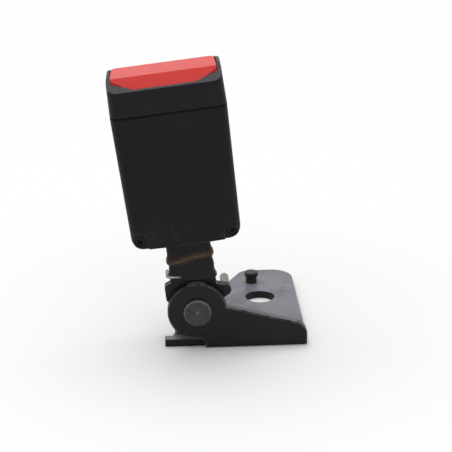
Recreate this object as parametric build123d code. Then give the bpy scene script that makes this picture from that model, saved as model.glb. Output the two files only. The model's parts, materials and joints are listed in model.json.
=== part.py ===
"""Seat belt buckle on a strap that swings on a bent steel anchor bracket. Millimetres.

X runs right, Y away from the front and Z up. The origin is the centre of the anchor bolt hole, on the
underside of the bracket. Pieces are drawn about the strap's pivot, with Y = 0 on the outer face of the front
flange, and are moved to the origin last. The buckle is drawn upright and then leans left about the pivot.
"""
from build123d import *
import math
import os

# Clearances
RUNNING = 0.05  # radial, between a pin and what turns on it
GAP = 0.2  # between pieces that are assembled side by side
SOFT_GAP = 0.3  # round a rubber or a loosely held piece

# Anchor bracket, bent from one steel blank
STEEL = 3.3
BOLT_HOLE_R = 6.2
HOLE_X = 27.8  # bolt hole from the pivot axis
HOLE_Y = 42.9  # bolt hole from the outer face of the front flange
PIVOT_H = 16.0
EAR_R = 11.8
PLATE_LEFT = 10.0
PLATE_RIGHT = 43.6
PLATE_DEPTH = 73.0
FAR_CORNER_R = 9.0
FAR_DIAGONAL_X = 11.9
FAR_DIAGONAL_Y = 22.6
FAR_DIAGONAL_R = 6.0
BEND_R = 1.0  # inside radius of both bends
OUTER_BEND_R = 1.2  # the front bend is struck nearly square outside
FLANGE_START_X = 3.0
FLANGE_TOP_AT_EAR = 20.7  # height of the sloping top edge, carried back to the pivot
FLANGE_SLOPE = 15.0
FLANGE_CORNER_R = 5.5
FLANGE_RELIEF_R = 2.5  # between the round ear and the flange's left end
EAR_CHAMFER = 0.4
WING_LEFT = 13.1
WING_FRONT_Y = 2.6
WING_CORNER_R = 0.8
TAB_WIDTH = 3.0
TAB_BACK_Y = 5.9
WAIST_Y = 9.0  # the base is as narrow as the far ear from here back
FAR_EAR_GAP = 9.8  # between the two ears
FAR_EAR_LEFT = 9.0
FAR_EAR_ROOT_RIGHT = 10.0
FAR_EAR_RISE = 5.8  # top edge above the pivot
LUG_H = 1.4  # right end of the far ear's lug
LUG_SLANT = 1.6

# Locating stud
STUD_X = 25.3
STUD_INSET = 13.3  # from the plate's far edge
STUD_NECK_R = 2.4
STUD_HEAD_R = 3.0
STUD_HEAD_T = 1.8
STUD_H = 4.8

# Pivot
RIVET_R = 4.0
RIVET_HEAD_R = 5.6
RIVET_HEAD_H = 2.0
RIVET_TAIL_R = 5.0
RIVET_TAIL_H = 1.8
RIVET_MARK_R = 0.8
WASHER_R = 5.7
WASHER_T = 1.2
BUSH_WALL = 1.2

# Strap
STRAP_T = 3.2
STRAP_NECK_W = 16.0
STRAP_SHOULDER_W = 18.0
STRAP_EYE_R = 9.6
STRAP_HEEL = 11.6
HEEL_BOTTOM = 4.4
HEEL_TOP = 11.2
HEEL_CORNER_R = 1.5
NOSE_R = 2.3  # the strap's lobe round the stop pin
NOSE_SLOPE = 30.0  # of the lobe's underside
NOSE_ROOT = 5.0  # length of that underside
LEAN = 6.4  # lean of the resting buckle to the left
STOP_PIN_R = 1.75
STOP_SPIGOT_R = 1.2  # the pin's thinner end, pressed into the strap from behind
STOP_SPIGOT_L = 2.4
STOP_PIN_X = 12.2
STOP_PIN_OVERHANG = 0.6  # beyond the far ear

# Torsion spring round the bush
SPRING_WIRE_R = 0.65
SPRING_BEND_R = 1.8
SPRING_TURN_GAP = 0.1
SPRING_COIL_R = 7.0
SPRING_TURNS = 2.0
SPRING_HOOK_H = 14.0
SPRING_HOOK_END = 7.6

# Rubber boot on the strap
BOOT_W = 18.8
BOOT_T = 8.4
BOOT_BOTTOM = 16.5
BOOT_TOP = 33.8

# Housing: its bottom, parting line and cap, as heights above the pivot
BODY_FRONT_Y = -5.6
BODY_BACK_Y = 16.8
BODY_LOW_W = 42.2
BODY_PART_W = 44.1
CAP_TOP_W = 42.9
BODY_BOTTOM = 30.7
BODY_PARTING = 83.3
BODY_EDGE_R = 4.0
BODY_CORNER_R = 5.0
BODY_BELLY = 0.5  # the bottom's middle hangs below its ends
WALL = 1.8
CAP_SKIN = 1.6
CAP_FRONT_TOP = 93.4
CAP_CREST = 99.4
CAP_BACK_TOP = 94.8
CAP_FRONT_CROWN = 0.3  # rise of the cap's front slope over a straight line
CAP_BACK_CROWN = 1.2
CAP_SHOULDER_R = 3.0  # ends of the crest, seen from the front
CAP_RIM_T = 0.8  # wall in front of the button
GROOVE_H = 0.4  # round the parting line
GROOVE_DEPTH = 0.4
LIP_H = 2.5
LIP_T = 1.2
SCREW_SPACING = 35.6
SCREW_H = 3.5  # screw axis above the housing's bottom
SCREW_BOSS_R = 4.0
SCREW_HEAD_R = 1.9
SCREW_HEAD_T = 1.6
SCREW_SHANK_R = 1.2
SCREW_SINK = 0.3  # head below the pocket's floor
POCKET_R = 3.2  # shallow pocket round each screw
POCKET_DEPTH = 0.9

# Frame inside the housing: joins the strap, steps back and carries the latch
FRAME_T = 2.2
FRAME_HALF_W = 17.0
FRAME_FOOT_HALF_W = 11.0
FRAME_BACK_Y = 14.8
FRAME_BOTTOM = 34.5
FRAME_STEP_START = 42.0
FRAME_STEP_END = 48.0
FRAME_WALL_TOP = 75.0
FRAME_TOP = 88.0
FRAME_WALL_FRONT_Y = -2.0
FRAME_RIVET_X = 5.0
FRAME_RIVET_DROP = 3.6  # below the strap's top end
FRAME_RIVET_R = 2.2
FRAME_RIVET_HEAD_R = 3.4
FRAME_RIVET_HEAD_T = 1.2

# Tongue slot
SLOT_HALF_W = 14.2
SLOT_T = 5.2

# Ejector and its spring
EJECTOR_HALF_W = 13.0
EJECTOR_T = 4.3
EJECTOR_BOTTOM = 66.0
EJECTOR_H = 10.0
EJECTOR_TRAVEL = 10.0
EJECTOR_LUG_T = 2.0
EJECTOR_LUG_H = 6.0

# Spring carrier
CARRIER_BOTTOM = 49.0
CARRIER_T = 3.0
PEG_R = 1.1
PEG_H = 3.0

# Compression springs
COIL_R = 1.7
COIL_WIRE_R = 0.35
COIL_TURNS = 5
COIL_SIDES = 4  # the small wire's section is a square on edge

# Latch
LATCH_PIN_R = 1.5
LATCH_PIN_Y = 5.0
LATCH_PIN_RISE = 6.0  # above the spring carrier
LATCH_HALF_W = 6.8
LATCH_T = 2.2
LATCH_TOP = 77.0
LATCH_NOSE_H = 3.0
LATCH_NOSE_REACH = 3.9
LATCH_BARREL_R = 2.8
LATCH_ARM_HALF_W = 3.0
LATCH_ARM_TOP = 62.4
LATCH_ARM_FRONT_Y = -2.0
LATCH_RAISED = 14.0  # turn out of the slot while no tongue is in

# Release button
BUTTON_TRAVEL = 6.0
BUTTON_HALF_W = 19.8
BUTTON_BOTTOM = 85.5
BUTTON_FRONT_H = 93.2
BUTTON_KNEE_Y = -0.4
BUTTON_KNEE_H = 97.8
BUTTON_CREST_H = 99.9
BUTTON_SHOULDER_R = 1.8
BUTTON_CHAMFER_X = 8.2
BUTTON_CHAMFER_Y = 3.6
BUTTON_ROOF = 2.5  # from the knee down to the hollow
BUTTON_STEP_GAP = 0.6  # over the housing's front wall when pressed
BUTTON_WALL = 1.5
LEG_INNER_X = 7.4
LEG_OUTER_X = 14.2
LEG_FRONT_Y = -1.8
LEG_BACK_Y = 2.6
LEG_BOTTOM = 68.0
LEG_SPRING_X = 11.6
BAR_R = 1.2
BAR_Y = -0.6
BAR_H = 70.0
BAR_HALF_LENGTH = 9.4

# Worked out from the above
FAR_EAR_BACK_Y = STEEL + FAR_EAR_GAP + STEEL
EAR_TOP_H = PIVOT_H + FAR_EAR_RISE
BUSH_R = RIVET_R + RUNNING + BUSH_WALL
STRAP_FRONT_Y = STEEL + SOFT_GAP
STRAP_BACK_Y = STRAP_FRONT_Y + STRAP_T
STRAP_MID_Y = STRAP_FRONT_Y + STRAP_T / 2
STRAP_TOP = FRAME_STEP_START
FRAME_RIVET_H = STRAP_TOP - FRAME_RIVET_DROP
STUD_Y = PLATE_DEPTH - STUD_INSET
BODY_MID_Y = (BODY_FRONT_Y + BODY_BACK_Y) / 2
BODY_DEPTH = BODY_BACK_Y - BODY_FRONT_Y
FRAME_FACE_Y = FRAME_BACK_Y - FRAME_T
FRAME_INNER_X = FRAME_HALF_W - FRAME_T
SLOT_BACK_Y = FRAME_FACE_Y - GAP
SLOT_FRONT_Y = SLOT_BACK_Y - SLOT_T
EJECTOR_BACK_Y = FRAME_FACE_Y - SOFT_GAP
EJECTOR_FRONT_Y = EJECTOR_BACK_Y - EJECTOR_T
EJECTOR_MID_Y = (EJECTOR_FRONT_Y + EJECTOR_BACK_Y) / 2
CARRIER_TOP = CARRIER_BOTTOM + CARRIER_T
LATCH_PIN_H = CARRIER_TOP + LATCH_PIN_RISE
BUTTON_FRONT_Y = BODY_FRONT_Y + CAP_RIM_T + GAP
BUTTON_SKIRT_Y = BODY_FRONT_Y + WALL + GAP
BUTTON_STEP_H = BODY_PARTING + BUTTON_TRAVEL + BUTTON_STEP_GAP
BUTTON_HOLLOW_TOP = BUTTON_KNEE_H - BUTTON_ROOF
BUTTON_BACK_Y = SLOT_FRONT_Y - SOFT_GAP
SCREW_AXIS_H = BODY_BOTTOM + SCREW_H
POCKET_FLOOR_Y = BODY_FRONT_Y + POCKET_DEPTH
SCREW_SEAT_Y = POCKET_FLOOR_Y + SCREW_SINK + SCREW_HEAD_T
# The stop pin lies on the far ear's top edge when the buckle leans at rest
LEAN_RAD = math.radians(LEAN)
STOP_PIN_Z = (FAR_EAR_RISE + STOP_PIN_R - STOP_PIN_X * math.sin(LEAN_RAD)) / math.cos(LEAN_RAD)
STOP_PIN_REST_X = STOP_PIN_X * math.cos(LEAN_RAD) - STOP_PIN_Z * math.sin(LEAN_RAD)
FAR_EAR_RIGHT = STOP_PIN_REST_X + STOP_PIN_R


def block(x0, x1, y0, y1, z0, z1):
    """A box between two values on each axis."""
    return Pos((x0 + x1) / 2, (y0 + y1) / 2, (z0 + z1) / 2) * Box(x1 - x0, y1 - y0, z1 - z0)


def rod_y(radius, x, z, y0, y1):
    """A round bar along Y."""
    return Pos(x, (y0 + y1) / 2, z) * Rot(90, 0, 0) * Cylinder(radius, y1 - y0)


def rod_x(radius, y, z, x0, x1):
    """A round bar along X."""
    return Pos((x0 + x1) / 2, y, z) * Rot(0, 90, 0) * Cylinder(radius, x1 - x0)


def rod_z(radius, x, y, z0, z1):
    """A round bar along Z."""
    return Pos(x, y, (z0 + z1) / 2) * Cylinder(radius, z1 - z0)


def outline(points):
    """A closed face through the points, with straight sides."""
    return make_face(Polyline(*points, close=True))


def upright(face, y0, y1):
    """A face drawn in X and Z, extruded from y0 to y1."""
    return extrude(Plane.XZ.offset(-y1) * face, y1 - y0)


def sideways(face, x0, x1):
    """A face drawn in Y and Z, extruded from x0 to x1."""
    return extrude(Plane.YZ.offset(x0) * face, x1 - x0)


def corner(face, x, y, radius):
    """The face with the corner nearest to a point rounded."""
    vertex = min(face.vertices(), key=lambda v: math.hypot(v.X - x, v.Y - y))
    return fillet(vertex, radius)


def bend_edge(shape, y, z):
    """The long edge along X that runs at a given Y and Z."""
    along = shape.edges().filter_by(Axis.X)
    near = [e for e in along if abs(e.center().Y - y) + abs(e.center().Z - z) < 0.01]
    return max(near, key=lambda e: e.length)


def flange_face():
    """The front flange seen from the front: a round ear and a tail with a sloping top edge."""
    end_top = FLANGE_TOP_AT_EAR - PLATE_RIGHT * math.tan(math.radians(FLANGE_SLOPE))
    tail = outline([
        (FLANGE_START_X, 0),
        (PLATE_RIGHT, 0),
        (PLATE_RIGHT, end_top),
        (0, FLANGE_TOP_AT_EAR),
        (0, PIVOT_H),
        (FLANGE_START_X, PIVOT_H),
    ])
    tail = corner(tail, PLATE_RIGHT, end_top, FLANGE_CORNER_R)
    return tail + Pos(0, PIVOT_H) * Circle(EAR_R)


def relief_web():
    """The steel left in the corner between the round ear and the flange's left end."""
    face = flange_face()
    height = PIVOT_H - math.sqrt(EAR_R**2 - FLANGE_START_X**2)
    return upright(corner(face, FLANGE_START_X, height, FLANGE_RELIEF_R) - face, 0, STEEL)


def far_ear_face():
    """The far ear seen from the front, with a lug at its right that the stop pin lies on."""
    face = outline([
        (-FAR_EAR_LEFT, 0),
        (FAR_EAR_ROOT_RIGHT, 0),
        (FAR_EAR_ROOT_RIGHT, EAR_TOP_H - LUG_H - LUG_SLANT),
        (FAR_EAR_RIGHT, EAR_TOP_H - LUG_H),
        (FAR_EAR_RIGHT, EAR_TOP_H),
        (-FAR_EAR_LEFT, EAR_TOP_H),
    ])
    return corner(face, -FAR_EAR_LEFT, EAR_TOP_H, FAR_EAR_RISE)


def base_face():
    """The flat base seen from above: the bolted plate, the wing under the pivot and the tab at its end."""
    face = outline([
        (FLANGE_START_X, 0),
        (PLATE_RIGHT, 0),
        (PLATE_RIGHT, PLATE_DEPTH),
        (PLATE_LEFT + FAR_DIAGONAL_X, PLATE_DEPTH),
        (PLATE_LEFT, PLATE_DEPTH - FAR_DIAGONAL_Y),
        (PLATE_LEFT, FAR_EAR_BACK_Y),
        (-FAR_EAR_LEFT, FAR_EAR_BACK_Y),
        (-FAR_EAR_LEFT, WAIST_Y),
        (TAB_WIDTH - WING_LEFT, TAB_BACK_Y),
        (-WING_LEFT, TAB_BACK_Y),
        (-WING_LEFT, WING_FRONT_Y),
        (FLANGE_START_X, WING_FRONT_Y),
    ])
    face = corner(face, PLATE_RIGHT, PLATE_DEPTH, FAR_CORNER_R)
    face = corner(face, PLATE_LEFT + FAR_DIAGONAL_X, PLATE_DEPTH, FAR_DIAGONAL_R)
    face = corner(face, -WING_LEFT, WING_FRONT_Y, WING_CORNER_R)
    return face - Pos(HOLE_X, HOLE_Y) * Circle(BOLT_HOLE_R)


def anchor_bracket():
    """Base, front flange and far ear, with rounded bends and the rivet's holes."""
    body = extrude(base_face(), STEEL) + upright(flange_face(), 0, STEEL)
    body += upright(far_ear_face(), FAR_EAR_BACK_Y - STEEL, FAR_EAR_BACK_Y)
    body = fillet(bend_edge(body, STEEL, STEEL), BEND_R)
    body = fillet(bend_edge(body, 0, 0), OUTER_BEND_R) + relief_web()
    rim = [e for e in body.edges().group_by(Axis.Y)[0] if e.center().Z > OUTER_BEND_R + 0.1]
    body = chamfer(rim, EAR_CHAMFER)
    body -= rod_y(RIVET_R + RUNNING, 0, PIVOT_H, -1, FAR_EAR_BACK_Y + 1)
    return body - rod_z(STUD_NECK_R + RUNNING, STUD_X, STUD_Y, -1, STEEL + 1)


def locating_stud():
    """A headed stud set in the base behind the bolt hole."""
    neck_top = STEEL + STUD_H - STUD_HEAD_T
    head = rod_z(STUD_HEAD_R, STUD_X, STUD_Y, neck_top, STEEL + STUD_H)
    head = fillet(head.edges().group_by(Axis.Z)[-1], STUD_HEAD_T * 0.35)
    return head + rod_z(STUD_NECK_R, STUD_X, STUD_Y, 0, neck_top)


def pivot_rivet():
    """A rivet with a domed front head that has a small centre mark, and a formed tail."""
    tail_y = FAR_EAR_BACK_Y + WASHER_T
    head = rod_y(RIVET_HEAD_R, 0, PIVOT_H, -RIVET_HEAD_H, 0)
    head = fillet(head.edges().group_by(Axis.Y)[0], RIVET_HEAD_H * 0.6)
    head -= rod_y(RIVET_MARK_R, 0, PIVOT_H, -RIVET_HEAD_H - 1, -RIVET_HEAD_H + 0.4)
    tail = rod_y(RIVET_TAIL_R, 0, PIVOT_H, tail_y, tail_y + RIVET_TAIL_H)
    tail = fillet(tail.edges().group_by(Axis.Y)[-1], RIVET_TAIL_H * 0.5)
    return head + rod_y(RIVET_R, 0, PIVOT_H, 0, tail_y) + tail


def rivet_washer():
    """A washer between the far ear and the rivet's tail."""
    ring = rod_y(WASHER_R, 0, PIVOT_H, FAR_EAR_BACK_Y, FAR_EAR_BACK_Y + WASHER_T)
    return ring - rod_y(RIVET_R + RUNNING, 0, PIVOT_H, FAR_EAR_BACK_Y - 1, FAR_EAR_BACK_Y + WASHER_T + 1)


def pivot_bush():
    """A sleeve between the ears, which the strap's eye turns on."""
    front = STEEL + RUNNING
    back = STEEL + FAR_EAR_GAP - RUNNING
    return rod_y(BUSH_R, 0, PIVOT_H, front, back) - rod_y(RIVET_R + RUNNING, 0, PIVOT_H, front - 1, back + 1)


def wire(path, radius, sides=0):
    """A wire along a path, round unless it is given a number of sides."""
    section = RegularPolygon(radius, sides) if sides else Circle(radius)
    return sweep(Plane(origin=path @ 0, z_dir=path % 0) * section, path=path, is_frenet=True)


def torsion_spring():
    """Two turns round the bush, a foot on the base, and a leg hooked round the strap from behind."""
    pitch = SPRING_WIRE_R * 2 + SPRING_TURN_GAP
    front = STRAP_BACK_Y + SPRING_WIRE_R + SOFT_GAP
    turns = Pos(0, front, PIVOT_H) * Rot(0, 180, 0) * Rot(-90, 0, 0) * Helix(
        pitch, pitch * SPRING_TURNS, SPRING_COIL_R
    )
    start = turns @ 0
    end = turns @ 1
    along = turns % 0
    hook_x = -STRAP_SHOULDER_W / 2 - SPRING_WIRE_R - SOFT_GAP - SPRING_HOOK_H * math.sin(LEAN_RAD)
    hook_y = STRAP_FRONT_Y - SPRING_WIRE_R - SOFT_GAP
    hook_h = PIVOT_H + SPRING_HOOK_H
    hook = FilletPolyline(
        end,
        end + along * SPRING_COIL_R / 2,
        Vector(hook_x, end.Y, hook_h),
        Vector(hook_x, hook_y, hook_h),
        Vector(hook_x + SPRING_HOOK_END, hook_y, hook_h),
        radius=SPRING_BEND_R,
    )
    foot = FilletPolyline(
        start,
        start - along * SPRING_COIL_R / 3,
        Vector(start.X - 1, front, STEEL + SPRING_WIRE_R + GAP),
        radius=SPRING_BEND_R,
    )
    coil = wire(turns, SPRING_WIRE_R)
    return coil.fuse(wire(hook, SPRING_WIRE_R), wire(foot, SPRING_WIRE_R))


def strap_face():
    """The strap seen from the front: eye, heel on the left, lobe round the stop pin and a long neck."""
    shoulder = STRAP_SHOULDER_W / 2
    neck = STRAP_NECK_W / 2
    slope = math.radians(NOSE_SLOPE)
    under_x = STOP_PIN_X + NOSE_R * math.sin(slope)
    under_z = STOP_PIN_Z - NOSE_R * math.cos(slope)
    arms = outline([
        (-STRAP_HEEL, HEEL_BOTTOM),
        (0, 0),
        (under_x - NOSE_ROOT * math.cos(slope), under_z - NOSE_ROOT * math.sin(slope)),
        (under_x, under_z),
        (STOP_PIN_X, STOP_PIN_Z + NOSE_R),
        (shoulder, STOP_PIN_Z + NOSE_R + 1),
        (shoulder, BOOT_BOTTOM - 1),
        (neck, BOOT_BOTTOM),
        (neck, STRAP_TOP),
        (-neck, STRAP_TOP),
        (-neck, BOOT_BOTTOM),
        (-shoulder, BOOT_BOTTOM - 1),
        (-shoulder, HEEL_TOP + 1),
        (-STRAP_HEEL, HEEL_TOP),
    ])
    arms = corner(arms, -STRAP_HEEL, HEEL_BOTTOM, HEEL_CORNER_R)
    arms = corner(arms, -STRAP_HEEL, HEEL_TOP, HEEL_CORNER_R)
    lobe = Pos(STOP_PIN_X, STOP_PIN_Z) * Circle(NOSE_R)
    return arms + lobe + Circle(STRAP_EYE_R) - Circle(BUSH_R + RUNNING)


def strap():
    """A flat steel strap from the pivot up into the housing."""
    body = upright(strap_face(), STRAP_FRONT_Y, STRAP_BACK_Y)
    body -= rod_y(STOP_SPIGOT_R, STOP_PIN_X, STOP_PIN_Z, STRAP_BACK_Y - STOP_SPIGOT_L, STRAP_BACK_Y + 1)
    for side in (-1, 1):
        body -= rod_y(FRAME_RIVET_R, side * FRAME_RIVET_X, FRAME_RIVET_H, STRAP_FRONT_Y - 1, STRAP_BACK_Y + 1)
    return body


def stop_pin():
    """A pin in the strap's lobe that reaches back over the far ear."""
    end = FAR_EAR_BACK_Y + STOP_PIN_OVERHANG
    spigot = rod_y(STOP_SPIGOT_R, STOP_PIN_X, STOP_PIN_Z, STRAP_BACK_Y - STOP_SPIGOT_L, STRAP_BACK_Y)
    return spigot + rod_y(STOP_PIN_R, STOP_PIN_X, STOP_PIN_Z, STRAP_BACK_Y, end)


def strap_boot():
    """A rubber sleeve on the strap, up into the bottom of the housing."""
    body = Pos(0, STRAP_MID_Y, (BOOT_BOTTOM + BOOT_TOP) / 2) * Box(BOOT_W, BOOT_T, BOOT_TOP - BOOT_BOTTOM)
    body = fillet(body.edges().filter_by(Axis.Z), 2.0)
    half = STRAP_NECK_W / 2 + SOFT_GAP
    return body - block(
        -half, half, STRAP_FRONT_Y - SOFT_GAP, STRAP_BACK_Y + SOFT_GAP, BOOT_BOTTOM - 1, BOOT_TOP + 1
    )


def frame():
    """A steel channel: foot riveted to the strap, a step back, and two side walls for the latch."""
    foot_front = STRAP_BACK_Y
    profile = outline([
        (foot_front, FRAME_BOTTOM),
        (foot_front + FRAME_T, FRAME_BOTTOM),
        (foot_front + FRAME_T, FRAME_STEP_START),
        (FRAME_BACK_Y, FRAME_STEP_END - 1),
        (FRAME_BACK_Y, FRAME_TOP),
        (FRAME_FACE_Y, FRAME_TOP),
        (FRAME_FACE_Y, FRAME_STEP_END),
        (foot_front, FRAME_STEP_START + 1),
    ])
    body = sideways(profile, -FRAME_HALF_W, FRAME_HALF_W)
    for side in (-1, 1):
        x0, x1 = sorted((side * FRAME_FOOT_HALF_W, side * (FRAME_HALF_W + 1)))
        body -= block(x0, x1, 0, FRAME_BACK_Y + 1, FRAME_BOTTOM - 1, FRAME_STEP_END)
        body += frame_wall(side)
        rivet_x = side * FRAME_RIVET_X
        body -= rod_y(FRAME_RIVET_R, rivet_x, FRAME_RIVET_H, foot_front - 1, foot_front + FRAME_T + 1)
    return body


def frame_wall(side):
    """One side wall, with the latch pin's hole, the ejector's slot and the carrier's window."""
    x0, x1 = sorted((side * FRAME_INNER_X, side * FRAME_HALF_W))
    lug = EJECTOR_LUG_T / 2 + GAP
    lug_bottom = EJECTOR_BOTTOM + 1 - EJECTOR_TRAVEL - GAP
    lug_top = EJECTOR_BOTTOM + 1 + EJECTOR_LUG_H + GAP
    wall = block(x0, x1, FRAME_WALL_FRONT_Y, FRAME_BACK_Y, FRAME_STEP_END, FRAME_WALL_TOP)
    wall -= rod_x(LATCH_PIN_R, LATCH_PIN_Y, LATCH_PIN_H, x0 - 1, x1 + 1)
    wall -= block(
        x0 - 1, x1 + 1, EJECTOR_MID_Y - lug, EJECTOR_MID_Y + lug, lug_bottom, lug_top
    )
    return wall - block(x0 - 1, x1 + 1, 0, EJECTOR_FRONT_Y, CARRIER_BOTTOM, CARRIER_TOP)


def frame_rivets():
    """Two rivets that join the strap to the frame's foot."""
    front = STRAP_FRONT_Y
    back = STRAP_BACK_Y + FRAME_T
    pieces = []
    for side in (-1, 1):
        x = side * FRAME_RIVET_X
        front_head = rod_y(FRAME_RIVET_HEAD_R, x, FRAME_RIVET_H, front - FRAME_RIVET_HEAD_T, front)
        back_head = rod_y(FRAME_RIVET_HEAD_R, x, FRAME_RIVET_H, back, back + FRAME_RIVET_HEAD_T)
        pieces.append(front_head + rod_y(FRAME_RIVET_R, x, FRAME_RIVET_H, front, back) + back_head)
    return Compound(children=pieces)


def body_section(width, inset, z):
    """The housing's section at a height, inset all round."""
    radius = BODY_EDGE_R - min(inset, BODY_EDGE_R * 0.6)
    return Pos(0, BODY_MID_Y, z) * RectangleRounded(width - 2 * inset, BODY_DEPTH - 2 * inset, radius)


def housing_solid(inset):
    """The housing below the parting line, tapered to its bottom."""
    bottom = body_section(BODY_LOW_W, inset, BODY_BOTTOM)
    return loft([bottom, body_section(BODY_PART_W, inset, BODY_PARTING)])


def housing_front_view():
    """The housing seen from the front: a bottom that hangs in the middle, and round bottom corners."""
    low = BODY_LOW_W / 2
    wide = max(BODY_LOW_W, BODY_PART_W) / 2 + 1
    left = (-low, BODY_BOTTOM + BODY_BELLY)
    right = (low, BODY_BOTTOM + BODY_BELLY)
    sides = Polyline(right, (wide, BODY_PARTING), (-wide, BODY_PARTING), left)
    face = make_face(ThreePointArc(left, (0, BODY_BOTTOM), right) + sides)
    return corner(corner(face, *left, BODY_CORNER_R), *right, BODY_CORNER_R)


def screw_pocket(side):
    """The shallow step round one screw, open to the housing's side and bottom."""
    x = side * SCREW_SPACING / 2
    front = BODY_FRONT_Y - 1
    outside = side * BODY_PART_W
    below = sorted((x - side * POCKET_R, outside))
    beside = sorted((x, outside))
    pocket = rod_y(POCKET_R, x, SCREW_AXIS_H, front, POCKET_FLOOR_Y)
    pocket += block(*below, front, POCKET_FLOOR_Y, BODY_BOTTOM - 1, SCREW_AXIS_H)
    return pocket + block(*beside, front, POCKET_FLOOR_Y, BODY_BOTTOM - 1, SCREW_AXIS_H + POCKET_R)


def housing():
    """Both housing halves in one: walls, floor, screw bosses and the strap's opening."""
    inner = housing_solid(WALL)
    inner -= block(-BODY_PART_W, BODY_PART_W, BODY_FRONT_Y, BODY_BACK_Y, 0, BODY_BOTTOM + WALL)
    for side in (-1, 1):
        inner -= rod_y(SCREW_BOSS_R, side * SCREW_SPACING / 2, SCREW_AXIS_H, BODY_FRONT_Y, BODY_BACK_Y)
    body = housing_solid(0) & upright(housing_front_view(), BODY_FRONT_Y - 1, BODY_BACK_Y + 1)
    body -= inner
    for side in (-1, 1):
        x = side * SCREW_SPACING / 2
        body -= screw_pocket(side)
        body -= rod_y(SCREW_HEAD_R + GAP, x, SCREW_AXIS_H, BODY_FRONT_Y, SCREW_SEAT_Y)
        body -= rod_y(SCREW_SHANK_R, x, SCREW_AXIS_H, SCREW_SEAT_Y - 1, BODY_BACK_Y - WALL)
    half_w = BOOT_W / 2 + SOFT_GAP
    half_t = BOOT_T / 2 + SOFT_GAP
    return body - block(
        -half_w, half_w, STRAP_MID_Y - half_t, STRAP_MID_Y + half_t, BODY_BOTTOM - 5, BODY_BOTTOM + WALL + 1
    )


def housing_half(front):
    """The housing in front of or behind its middle plane."""
    y0 = BODY_FRONT_Y - 1 if front else BODY_MID_Y
    y1 = BODY_MID_Y if front else BODY_BACK_Y + 1
    return housing() & block(-BODY_PART_W, BODY_PART_W, y0, y1, 0, BODY_PARTING + 1)


def housing_screws():
    """Two screws through the front half into the back half's bosses."""
    pieces = []
    for side in (-1, 1):
        x = side * SCREW_SPACING / 2
        head = rod_y(SCREW_HEAD_R, x, SCREW_AXIS_H, SCREW_SEAT_Y - SCREW_HEAD_T, SCREW_SEAT_Y)
        pieces.append(head + rod_y(SCREW_SHANK_R, x, SCREW_AXIS_H, SCREW_SEAT_Y, BODY_BACK_Y - WALL))
    return Compound(children=pieces)


def crowned(start, end, crown):
    """A shallow arc between two points, raised over the middle of the straight line."""
    middle = ((start[0] + end[0]) / 2, (start[1] + end[1]) / 2 + crown)
    return ThreePointArc(start, middle, end)


def cap_profile(drop):
    """The space below the cap's top, seen from the side and lowered by a skin's thickness."""
    front = (BODY_FRONT_Y, CAP_FRONT_TOP - drop)
    crest = (BUTTON_BACK_Y - 1, CAP_CREST - drop)
    back = (BODY_BACK_Y, CAP_BACK_TOP - drop)
    top = crowned(front, crest, CAP_FRONT_CROWN) + crowned(crest, back, CAP_BACK_CROWN)
    return make_face(top + Polyline(back, (BODY_BACK_Y, BODY_PARTING), (BODY_FRONT_Y, BODY_PARTING), front))


def shouldered(bottom_half, top_half, bottom, top, radius):
    """A face seen from the front whose top corners are rounded."""
    face = outline([(-bottom_half, bottom), (bottom_half, bottom), (top_half, top), (-top_half, top)])
    return corner(corner(face, top_half, top, radius), -top_half, top, radius)


def cap_solid(inset, drop):
    """The cap's block under its crowned top."""
    above = CAP_CREST + 2
    half = CAP_TOP_W / 2 - inset
    front_view = shouldered(half + 1, half, BODY_PARTING - 1, CAP_CREST - drop, CAP_SHOULDER_R)
    whole = loft([body_section(BODY_PART_W, inset, BODY_PARTING), body_section(CAP_TOP_W, inset, above)])
    whole &= sideways(cap_profile(drop), -BODY_PART_W, BODY_PART_W)
    return whole & upright(front_view, BODY_FRONT_Y - 1, BODY_BACK_Y + 1)


def parting_groove():
    """The ring cut from the cap's lower edge, which leaves a dark line at the joint."""
    ring = extrude(body_section(BODY_PART_W, -1, BODY_PARTING), GROOVE_H)
    return ring - extrude(body_section(BODY_PART_W, GROOVE_DEPTH, BODY_PARTING - 1), GROOVE_H + 2)


def button_plan(grow):
    """The button seen from above, with its front corners cut off."""
    half = BUTTON_HALF_W + grow
    front = BUTTON_FRONT_Y - grow
    back = BUTTON_BACK_Y + grow
    return outline([
        (-half, back),
        (-half, front + BUTTON_CHAMFER_Y),
        (BUTTON_CHAMFER_X - half, front),
        (half - BUTTON_CHAMFER_X, front),
        (half, front + BUTTON_CHAMFER_Y),
        (half, back),
    ])


def top_cap():
    """The cap with its button opening, tongue slot and a lip that plugs into the housing."""
    body = cap_solid(0, 0) - cap_solid(WALL, CAP_SKIN)
    lip_bottom = BODY_PARTING - LIP_H
    outer_lip = extrude(body_section(BODY_PART_W, WALL + GAP, lip_bottom), LIP_H + 1)
    ledge = extrude(body_section(BODY_PART_W, WALL / 2, BODY_PARTING), 1)
    hollow = extrude(body_section(BODY_PART_W, WALL + GAP + LIP_T, lip_bottom - 1), LIP_H + 3)
    body += outer_lip + ledge - hollow
    body -= parting_groove()
    clear = FRAME_HALF_W + GAP
    body -= block(-clear, clear, BODY_MID_Y, BODY_BACK_Y - WALL, lip_bottom - 1, FRAME_TOP + 1)
    body -= Pos(0, 0, FRAME_WALL_TOP) * extrude(button_plan(GAP), CAP_CREST)
    return body - block(-SLOT_HALF_W, SLOT_HALF_W, BUTTON_BACK_Y, SLOT_BACK_Y, BODY_PARTING, CAP_CREST + 5)


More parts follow.
